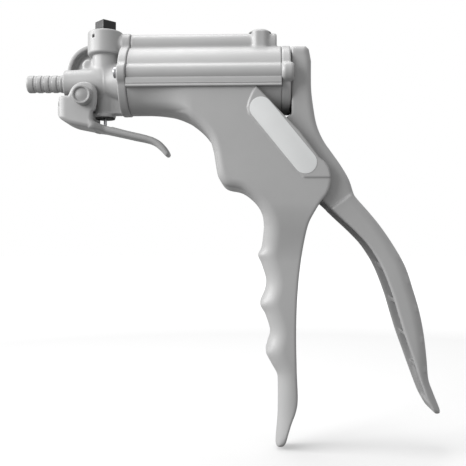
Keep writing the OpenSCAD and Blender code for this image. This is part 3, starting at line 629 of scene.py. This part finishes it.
TOP = [(2.2, 77.6), (HANDLE_FRONT, 79), (HANDLE_FRONT, HANDLE_TOP),
       (HANDLE_BACK - 2.6, HANDLE_TOP), (HANDLE_BACK - 1, HANDLE_TOP - 1.6)]

# Each rib's place in X and Z, and its slant in degrees.
HANDLE_RIBS = ((34, 38, 42), (42.5, 22, 38), (49.5, 8, 33), (54.5, -7, 22), (58, -22, 15),
               (60.5, -36, 10))

# The back carried on far in front of the handle, without the end of its lower tip.
OUTER_END = 8
FAR_FRONT = [(-10, TOE_Z - 5), (-60, TOE_Z - 5), (-60, HANDLE_TOP)]
HANDLE_SWEEP = TOP[3:] + OUTER[:-OUTER_END] + FAR_FRONT


def make_handle():
    """The moving handle: an open-fronted shell with ribs and a hub for its pin."""
    whole_at = outline(OUTER + INNER + TOP)
    sweep = outline(HANDLE_SWEEP)

    def field(x, y, z):
        lower = ramp((x - 32.9) * 0.57 - (z - 43.2) * 0.82, -0.9, 0.5, 0, 1)
        width = 11.5 + 1.5 * lower - ramp(-z, 20, 62, 0, 2.5)
        edge = 3.5 + 2.0 * lower
        back = sweep(x, z)
        whole = whole_at(x, z)
        outer = keep(rounded(back, np.abs(y) - width, edge), whole, 1.0)
        hollow = rounded(back + HANDLE_T, np.abs(y) - width + HANDLE_T, 1.6)
        hollow = keep(hollow, -52 - z, 2.0)
        shell = cut(outer, hollow, 0.8)
        for rx, rz, turn in HANDLE_RIBS:
            a = math.radians(turn)
            across = (x - rx) * math.sin(a) + (z - rz) * math.cos(a)
            web = keep(np.abs(across) - 1.0, np.maximum(whole + 1.6, np.abs(y) - width + 1), 0.6)
            shell = join(shell, web, 0.7)
        hub = rod(x - PIVOT[0], z - PIVOT[2], y, PIN_R + 2.8, -13.2, 13.6, 0.4)
        total = join(shell, hub, 0.8)
        relief = block(x, y, z, (HANDLE_BACK - HANDLE_T - 1, -4, AXIS_Z - 6.5),
                       (HANDLE_BACK - 1.4, 4, AXIS_Z + 6.5), 0.3)
        total = cut(total, relief, 0.2)
        return cut(total, np.hypot(x - PIVOT[0], z - PIVOT[2]) - PIN_R - 0.05, 0.3)

    piece = solid("pump_handle_shell", field, (HANDLE_LOW[0], -14.2, HANDLE_LOW[2]),
                  (HANDLE_HIGH[0], 14.2, HANDLE_HIGH[2]), 0.5)
    return place(piece, GREY, "handle", "grey_plastic", "pump_handle")


# ---------------------------------------------------------------- head


def head_flange(x, y, z):
    """The plate against the barrel, with a lug for each screw and one for the ridge."""
    lobes = join(np.hypot(y, z - AXIS_Z) - BARREL_R - 0.5,
                 np.hypot(np.abs(y) - BOSS_Y, z - BOSS_Z) - BOSS_R - 0.5, 1.0)
    lobes = join(lobes, np.hypot(y, z - RIDGE_Z) - RIDGE_R - 0.4, 1.2)
    return rounded(lobes, np.abs(x - SEAM_X + FLANGE_T / 2) - FLANGE_T / 2, 0.6)


def head_nose(x, y, z):
    """The nozzle, which tapers to its tip and flares into a cone at the flange."""
    flange_x = SEAM_X - FLANGE_T
    out = np.hypot(y, z - NOSE_Z)
    taper = ramp(x, NOSE_X, HEAD_X, NOSE_TIP_R, NOSE_R)
    half = (SEAM_X - NOSE_X) / 2
    nose = rounded(out - taper, np.abs(x - (NOSE_X + SEAM_X) / 2) - half + 0.5, 0.5)
    cone = (out - NOSE_R - np.clip((x - flange_x + 7) * 0.39, 0, 3)) * 0.93
    cone = keep(cone, np.abs(x - flange_x + 3) - 4.5, 0.3)
    return join(nose, cone, 1.0)


def head_tower(total, x, y, z):
    """Adds the neck and collar above the nozzle, and the link to the barrel's ridge."""
    total = join(total, rod(x - HEAD_X, y, z, NECK_R, AXIS_Z, COLLAR_TOP - 2, 0.3), 1.8)
    collar = rod(x - HEAD_X, y, z, COLLAR_R, COLLAR_TOP - COLLAR_H, COLLAR_TOP, 0.9)
    total = join(total, collar, 0.5)
    return join(total, rod(y, z - RIDGE_Z, x, RIDGE_R, HEAD_X, SEAM_X - 1, 0.3), 0.5)


def head_chamber(total, x, y, z):
    """Adds the release chamber under the nozzle, its lip and its web to the flange."""
    lip = CHAMBER_LOW[2] + 0.5
    total = join(total, rod(x - HEAD_X, y, z, CHAMBER_R, lip, AXIS_Z, 0.3), 1.6)
    rim = rod(x - HEAD_X, y, z, CHAMBER_R + CHAMBER_LIP_R, lip, lip + 2.0, 0.4)
    total = join(total, rim, 0.4)
    web = block(x, y, z, (HEAD_X, -3.5, UNDER_Z + 0.4), (SEAM_X - 2, 3.5, AXIS_Z - 1), 0.4)
    return join(total, web, 0.8)


def head_openings(total, x, y, z):
    """Cuts the gauge port, the barb's socket, the chamber's bore and the lock pin's hole."""
    port = rod(x - HEAD_X, y, z, 5.05, COLLAR_TOP - 8, COLLAR_TOP + 3, 0.3)
    total = cut(total, port, 0.5)
    total = cut(total, rod(y, z - NOSE_Z, x, 5.45, NOSE_X - 3, NOSE_X + 7, 0.3), 0.4)
    bore = rod(x - HEAD_X, y, z, 3.0, CHAMBER_LOW[2] - 2, AXIS_Z - 5.5, 0.2)
    total = cut(total, bore, 0.3)
    turn = math.radians(LOCK_HOLE_TURN)
    along = -(x - HEAD_X) * math.sin(turn) - y * math.cos(turn)
    sideways = (x - HEAD_X) * math.cos(turn) - y * math.sin(turn)
    return cut(total, rod(sideways, z - COLLAR_TOP + 3.3, along, 0.75, 4, 12, 0.1), 0.2)


def make_head():
    """The head: nozzle, tower, release chamber, lever lug, flange and selector boss."""
    def field(x, y, z):
        total = head_nose(x, y, z)
        total = head_tower(total, x, y, z)
        total = head_chamber(total, x, y, z)
        lug = rod(x - LEVER[0], z - LEVER[2], y, 4.4, -LEVER_W + 0.1, LEVER_W - 0.1, 0.3)
        total = join(total, lug, 1.0)
        total = join(total, head_flange(x, y, z), 1.0)
        spindle = rod(x - KNOB[0], z - KNOB[2], y, SPINDLE_R, -1.8, KNOB_LOW[1] - 0.3, 1.5)
        total = join(total, spindle, 1.2)
        return head_openings(total, x, y, z)

    piece = solid("head_shell", field, (NOSE_X, -19, CHAMBER_LOW[2]),
                  (SEAM_X, 19, COLLAR_TOP), 0.36)
    return place(piece, GREY, "body", "grey_plastic", "head")


def make_barb():
    """The hose barb: five rounded crests and a hollow tip."""
    crest, hole = 4.1, 1.9
    tip = BARB_LOW[0]
    profile = [(hole, NOSE_X + 4), (hole, tip + 0.5)]
    profile += arc((hole + 0.5, tip + 0.5), 0.5, 180, 270, 4)
    profile += arc((crest - 1.1, tip + 1.1), 1.1, 270, 360, 6)
    for i in range(4):
        groove = tip + 4.1 + 3.7 * i
        profile += arc((crest - 0.5, groove - 1.1), 0.5, 0, 80, 4)
        profile += arc((crest + 0.12, groove), 0.6, 235, 125, 5)[::-1]
        profile += arc((crest - 0.5, groove + 1.1), 0.5, -80, 0, 4)
    profile += [(crest, NOSE_X - 0.4), (crest - 0.25, NOSE_X), (crest - 0.25, NOSE_X + 4)]
    piece = tidy(lathe("hose_barb_turned", profile, (0, 0, NOSE_Z), (1, 0, 0)))
    return place(sharp(piece, 50), GREY, "body", "grey_plastic", "hose_barb")


def make_plug():
    """The square-head plug: chamfered square on a round shank."""
    base = COLLAR_TOP
    top = PLUG_HIGH[2]
    half = PLUG_FLATS / 2
    turn = math.radians(45)

    def field(x, y, z):
        u = (x - HEAD_X) * math.cos(turn) + y * math.sin(turn)
        v = y * math.cos(turn) - (x - HEAD_X) * math.sin(turn)
        square = rounded(np.abs(u) - half, np.abs(v) - half, 0.25)
        head = rounded(square, np.abs(z - (base - 1 + top) / 2) - (top - base + 1) / 2, 0.3)
        shank = rod(x - HEAD_X, y, z, 4.9, base - 4, base - 0.3, 0.5)
        return np.minimum(head, shank)

    piece = solid("gauge_port_plug_head", field, (HEAD_X - 5.3, -5.3, base - 4),
                  (HEAD_X + 5.3, 5.3, top), 0.18)
    return place(piece, BLACK, "body", "black_plastic", "gauge_port_plug")


# ---------------------------------------------------------------- release lever


def arm_top(dx):
    """The height of the arm's flat top, at a place along it from the pin."""
    return -10.08 - 0.28 * dx


def hood_outline():
    """The side of the lever's hood, from its pin: a ring, a shoulder and a round front."""
    ring = [(7.1 * math.cos(math.radians(a)), 7.1 * math.sin(math.radians(a)))
            for a in range(0, 166, 5)]
    front = curve([(-11.2, 0.7), (-12, 0.1), (-12.7, -1.8), (-13.2, -5.4), (-12.6, -8.2),
                   (-10.4, -10.6), (-6.4, -12.5), (-2, -13.5)])
    back = curve([(4.2, -6.8), (5.5, -5.8), (6.1, -4.2), (6.8, -2.2)])
    corner = [(4.0, -14.7), (4.3, arm_top(4.3)), (4.2, -6.8)]
    return ring + [(-7.5, 0.7), (-11.2, 0.7)] + front + corner + back


def arm_outline():
    """The side of the arm, from the pin: underside, curled tip and top."""
    under = curve([(9.5, -15.8), (16.7, -17.4), (22.3, -18.7), (28.6, -20.1), (32, -21.6),
                   (35.0, -24.2), (37.4, -26.6), (38.6, -26.3), (38.5, -25.0), (36.7, -22.2),
                   (34.2, -19.9), (31.2, -18.3)])
    top = [(27.6, -17.2), (18.4, -15.1), (9.5, arm_top(9.5)), (2.6, arm_top(2.6))]
    return [(2.6, -14.1), (4.0, -14.4)] + under + top


def hollow_outline():
    """The gap between the hood's two sides, which clears the head."""
    floor = [(dx, arm_top(dx)) for dx in (-1, 5, 12)]
    return [(-12, 10), (-12.3, -4), (-10.5, -8), (-6, -10.5)] + floor + [(12, 10)]


def make_lever():
    """The release lever: a hood over the head's lug and a curled arm."""
    px, pz = LEVER[0], LEVER[2]
    hood_at, arm_at, hollow_at = [
        outline([(px + a, pz + b) for a, b in points], 3, 0.15)
        for points in (hood_outline(), arm_outline(), hollow_outline())]

    def field(x, y, z):
        half = ramp(x - px, 3.5, 9.5, LEVER_SIDE, 5.4) - ramp(x - px, 10, 38, 0, 0.8)
        nose_cut = np.hypot(np.maximum(px - 8.1 - x, 0),
                            np.maximum(np.abs(y) - LEVER_SIDE + 5, 0)) - 5
        soft = ramp(z - pz, -9, -3, 2.6, 0.5)
        side = keep(rounded(hood_at(x, z), np.abs(y) - half, 1.6), nose_cut, 0.6)
        side = np.maximum(side, rounded(hood_at(x, z), np.abs(y) - half, soft))
        bar = rounded(arm_at(x, z) - 0.25, np.abs(y) - half, 1.6)
        total = join(side, bar, 1.0)
        inside = rounded(hollow_at(x, z), np.abs(y) - LEVER_W, 0.8)
        total = cut(total, inside, 0.4)
        return cut(total, np.hypot(x - px, z - pz) - 1.65, 0.2)

    piece = solid("release_lever_moulded", field, (px - 15, -LEVER_SIDE - 0.2, pz - 28),
                  (px + 39, LEVER_SIDE + 0.2, pz + 7.2), 0.34)
    return place(piece, GREY, "lever", "grey_plastic", "release_lever")


def make_lever_pin():
    """The lever's pin, with a long dished head on the near side."""
    wide = LEVER_SIDE
    face = PIN_FACE_Y
    profile = [(0, wide + 0.15), (1.3, wide + 0.15), (1.6, wide - 0.15), (1.6, -wide - 0.2),
               (4.3, -wide - 0.2)]
    profile += arc((3.95, face + 0.35), 0.35, 0, -90, 5)
    profile += [(3.6, face), (3.35, face + 0.15), (3.2, face + 0.7), (2.9, face + 0.9),
                (1.9, face + 0.7), (1.0, face + 0.45), (0, face + 0.4)]
    piece = tidy(lathe("lever_pin_turned", profile, (LEVER[0], 0, LEVER[2]), (0, 1, 0)))
    return place(sharp(piece, 40), PIN_GREY, "body", "pin_plastic", "lever_pin")


# ---------------------------------------------------------------- rear end


def make_rear_cap():
    """The cap on the barrel's back end, with a domed lug round each screw."""
    plate_end = CAP_HIGH[0] - 1.0
    dome_end = CAP_HIGH[0] + 0.5
    clear_of_handle = 11.9

    def field(x, y, z):
        out = np.hypot(y, z - AXIS_Z)
        lug = np.hypot(np.abs(y) - BOSS_Y, z - BOSS_Z) - BOSS_R - 0.1
        plate = join(out - BARREL_R - 0.1, lug, 1.0)
        plate = rounded(plate, np.abs(x - plate_end / 2) - plate_end / 2, 0.7)
        dome = np.hypot(np.abs(y) - BOSS_Y - 1.2, z - BOSS_Z) - BOSS_R
        dome = rounded(dome, np.abs(x - dome_end / 2) - dome_end / 2, 1.8)
        dome = keep(dome, clear_of_handle - np.abs(y), 0.3)
        total = join(plate, dome, 0.6)
        total = cut(total, out - 5.63, 0.3)
        recess = rod(np.abs(y) - 15.9, z - BOSS_Z, x, SCREW_HEAD_R + 0.15, CAP_HIGH[0] - 1.4,
                     CAP_HIGH[0] + 2, 0.1)
        return cut(total, recess, 0.2)

    piece = solid("rear_cap_moulded", field, (CAP_LOW[0] + 5, -20, AXIS_Z - 17),
                  (dome_end, 20, AXIS_Z + 17), 0.36)
    return place(piece, GREY, "body", "grey_plastic", "rear_cap")


def make_vent_cap():
    """The vent's low round cap, on its column on the ridge."""
    low = VENT_LOW[2] + 4.05
    high = VENT_HIGH[2] + 0.2
    r = (VENT_HIGH[0] - VENT_LOW[0]) / 2
    profile = [(0, low), (r - 0.2, low), (r, low + 0.2), (r, low + 0.35)]
    profile += curve([(r, low + 0.35), (r - 0.7, low + 0.85), (r - 1.7, high - 0.15),
                      (r - 2.6, high)])[1:]
    profile += [(0, high)]
    piece = tidy(lathe("vent_cap_moulded", profile, (VENT_X, 0, 0), (0, 0, 1)))
    return place(sharp(piece, 50), GREY, "body", "grey_plastic", "vent_cap")


def make_knob():
    """The selector knob: a cup with a cone-shaped floor that faces the head, and a
    fluted rim and a grip bar outside."""
    low = KNOB_LOW[1]
    high = KNOB_HIGH[1] - 3.0
    flute_count = 36
    r = (KNOB_HIGH[0] - KNOB_LOW[0]) / 2

    def field(x, y, z):
        dx, dz = x - KNOB[0], z - KNOB[2]
        cup = rod(dx, dz, y, r, low, high, 0.7)
        out = np.hypot(dx, dz)
        floor = low + 0.3 + ramp(out, 3.2, r - 2, 0, high - low - 2.3)
        cup = cut(cup, rounded(out - r + 2, y - floor, 0.8), 0.4)
        bar = rounded(rounded(np.abs(dx) - 1.6, np.abs(dz) - r + 2, 0.8),
                      np.abs(y - high - 1) - 2.0, 0.8)
        cup = join(cup, bar, 0.8)
        turn = np.arctan2(dz, dx)
        flutes = 0.18 * np.cos(flute_count * turn) * ramp(out, r - 1.2, r - 0.2, 0, 1)
        return cut(cup + flutes * ramp(y, low + 1.0, low + 2.0, 0, 1), out - 1.3, 0.2)

    piece = solid("selector_knob_moulded", field, (KNOB[0] - r, low, KNOB[2] - r),
                  (KNOB[0] + r, KNOB_HIGH[1], KNOB[2] + r), 0.36)
    return place(piece, GREY, "selector", "grey_plastic", "selector_knob")


def make_label():
    """The blank label: a stadium of film with a rounded rim."""
    low, high = box_mm("label")
    r = 5.1
    ends = np.array([[low[0] + r, high[2] - r], [high[0] - r, low[2] + r]])
    run = ends[1] - ends[0]
    turn = math.atan2(run[1], run[0])
    rings = []
    for inset, depth in ((0, 0.0), (0, 0.08), (0.06, 0.13), (0.18, 0.15)):
        rim = []
        for centre, start in ((ends[0], 90), (ends[1], -90)):
            for k in range(17):
                a = turn + math.radians(start + 180 * k / 16)
                p = centre + (r - inset) * np.array([math.cos(a), math.sin(a)])
                rim.append((p[0], high[1] - depth, p[1]))
        rings.append(rim)
    n = len(rings[0])
    points = [p for rim in rings for p in rim]
    faces = [(i * n + k, i * n + (k + 1) % n, (i + 1) * n + (k + 1) % n, (i + 1) * n + k)
             for i in range(len(rings) - 1) for k in range(n)]
    piece = tidy(make_mesh("label_film_blank", np.array(points), np.array(faces)))
    return place(sharp(piece, 30), FILM, "body", "label_film", "label")


def make_screw(name, outer_x, y0, face):
    """A pan-head screw with a cross recess. Its head faces -X or +X, as face says."""
    length = 5.0
    room = SCREW_HEAD_R + 0.2

    def field(x, y, z):
        t = (outer_x - x) * face
        dy = y - y0
        dz = z - BOSS_Z
        head = rod(dy, dz, t, SCREW_HEAD_R, 0, 1.5, 0.5)
        shank = rod(dy, dz, t, 1.2, 1, length, 0.1)
        cross = np.minimum(np.maximum(np.abs(dy) - 0.28, np.abs(dz) - 1.4),
                           np.maximum(np.abs(dz) - 0.28, np.abs(dy) - 1.4))
        return cut(np.minimum(head, shank), np.maximum(cross, t - 0.9), 0.08)

    ends = sorted((outer_x, outer_x - length * face))
    return solid(name, field, (ends[0], y0 - room, BOSS_Z - room),
                 (ends[1], y0 + room, BOSS_Z + room), 0.16)


def make_screws():
    """Two screws at each end of the barrel. The near one stands for its CAD node."""
    for node, face in (("head_screws", -1), ("rear_cap_screws", 1)):
        low, high = box_mm(node)
        outer_x = low[0] if face < 0 else CAP_HIGH[0] + 0.1
        y0 = high[1] - SCREW_HEAD_R
        place(make_screw(node + "_near", outer_x, -y0, face), STEEL, "body", "steel", node)
        place(make_screw(node + "_far", outer_x, y0, face), STEEL, "body", "steel")


def finish_cad_nodes():
    """Materials for the pieces whose shape the frame already holds."""
    finishes = {
        "head_seal": RUBBER, "barb_seal": RUBBER, "inlet_valve": RUBBER, "outlet_valve": RUBBER,
        "release_valve_disc": RUBBER, "piston_seal": RUBBER, "release_chamber_cap": RUBBER,
        "rod_bush": BLACK, "piston": BLACK, "selector_core": GREY, "knob_screw": STEEL,
        "release_stem": STEEL, "piston_screw": STEEL, "piston_rod": STEEL, "rod_pin": STEEL,
        "handle_pin": STEEL, "return_spring": SPRING, "release_spring": SPRING}
    for node, material in finishes.items():
        piece = frame["nodes"][node]
        finish(piece, material)
        piece.data.set_sharp_from_angle(angle=math.radians(35))


# ---------------------------------------------------------------- studio


def make_floor():
    """A pale floor with painted shade: its colour darkens towards the pump, so that the pump's
    cast shadow shows.
    """
    under_toe = (0, 0, (TOE_Z - 0.5) * MM)
    bpy.ops.mesh.primitive_circle_add(vertices=96, radius=6.0, fill_type="NGON",
                                      location=under_toe)
    floor = bpy.context.object
    floor.name = "studio_floor"
    floor.visible_diffuse = False
    floor.visible_glossy = False
    material, nodes, links, shader = new_material("pale_floor")
    coords = nodes.new("ShaderNodeTexCoord")
    spread = nodes.new("ShaderNodeVectorMath")
    spread.operation = "LENGTH"
    links.new(coords.outputs["Object"], spread.inputs[0])
    reach = nodes.new("ShaderNodeMapRange")
    reach.inputs["From Min"].default_value = 0.1
    reach.inputs["From Max"].default_value = 1.2
    links.new(spread.outputs["Value"], reach.inputs["Value"])
    # painted shade: the floor's colour runs from 0.53 near the pump out to 0.92 farther away
    shade = tint(nodes, links, reach, (0.53, 0.53, 0.53), (0.92, 0.92, 0.92), "Result")
    links.new(shade.outputs["Color"], shader.inputs["Base Color"])
    shader.inputs["Roughness"].default_value = 0.7
    shader.inputs["Emission Color"].default_value = (1, 1, 1, 1)
    shader.inputs["Emission Strength"].default_value = 0.3
    finish(floor, material)


def make_sun(name, direction, strength, spread):
    """A broad sun that shines along the direction; its spread is in degrees."""
    data = bpy.data.lights.new(name, "SUN")
    data.energy = strength
    data.angle = math.radians(spread)
    lamp = bpy.data.objects.new(name, data)
    bpy.context.scene.collection.objects.link(lamp)
    lamp.rotation_euler = Vector(direction).to_track_quat("-Z", "Y").to_euler()


def make_softbox(name, place_at, target, size, power):
    """A rectangular lamp that points at the target; places in metres."""
    data = bpy.data.lights.new(name, "AREA")
    data.shape = "RECTANGLE"
    data.size, data.size_y = size
    data.energy = power
    lamp = bpy.data.objects.new(name, data)
    bpy.context.scene.collection.objects.link(lamp)
    lamp.location = place_at
    lamp.rotation_euler = (Vector(target) - Vector(place_at)).to_track_quat("-Z", "Y").to_euler()


def make_world():
    """White for the camera, and a softer light that is brighter from above."""
    world = bpy.data.worlds.new("studio")
    bpy.context.scene.world = world
    world.use_nodes = True
    nodes, links = world.node_tree.nodes, world.node_tree.links
    background = nodes["Background"]
    coords = nodes.new("ShaderNodeTexCoord")
    split = nodes.new("ShaderNodeSeparateXYZ")
    links.new(coords.outputs["Generated"], split.inputs["Vector"])
    height = nodes.new("ShaderNodeMapRange")
    height.inputs["From Min"].default_value = -1.0
    height.inputs["From Max"].default_value = 1.0
    height.inputs["To Min"].default_value = 0.2
    height.inputs["To Max"].default_value = 0.75
    links.new(split.outputs["Z"], height.inputs["Value"])
    path = nodes.new("ShaderNodeLightPath")
    choose = nodes.new("ShaderNodeMix")
    choose.data_type = "FLOAT"
    links.new(path.outputs["Is Camera Ray"], choose.inputs["Factor"])
    links.new(height.outputs["Result"], choose.inputs["A"])
    choose.inputs["B"].default_value = 1.0
    links.new(choose.outputs["Result"], background.inputs["Strength"])
    background.inputs["Color"].default_value = (1, 1, 1, 1)


def make_camera():
    """The photograph's view: level with the middle of the pump, from the near side."""
    photo_width = 466
    focal_length = 720
    target = Vector((-22.5, 0, 25)) * MM
    distance = 0.338
    azimuth, elevation = math.radians(2), math.radians(-1)
    look = Vector((-math.sin(azimuth) * math.cos(elevation),
                   math.cos(azimuth) * math.cos(elevation), -math.sin(elevation)))
    data = bpy.data.cameras.new("camera")
    data.sensor_width = 36.0
    data.lens = data.sensor_width * focal_length / photo_width
    data.clip_start = 0.01
    camera = bpy.data.objects.new("camera", data)
    bpy.context.scene.collection.objects.link(camera)
    camera.location = target - look * distance
    camera.rotation_euler = look.to_track_quat("-Z", "Y").to_euler()
    bpy.context.scene.camera = camera


# ---------------------------------------------------------------- the scene

make_camera()
make_world()
make_floor()
make_sun("key_sun", (0.95, 0.12, -0.4), 2.2, 30)
make_softbox("left_softbox", (-0.5, -0.4, 0.28), (0, 0, 0.05), (0.35, 0.35), 2.5)
make_softbox("top_softbox", (-0.15, 0.1, 0.7), (0, 0, 0.05), (0.5, 0.3), 2.2)
bpy.context.scene.view_settings.view_transform = "Standard"

make_pump_body()
make_rails()
make_handle()
make_head()
make_barb()
make_plug()
make_lever()
make_lever_pin()
make_rear_cap()
make_vent_cap()
make_knob()
make_label()
make_screws()
finish_cad_nodes()
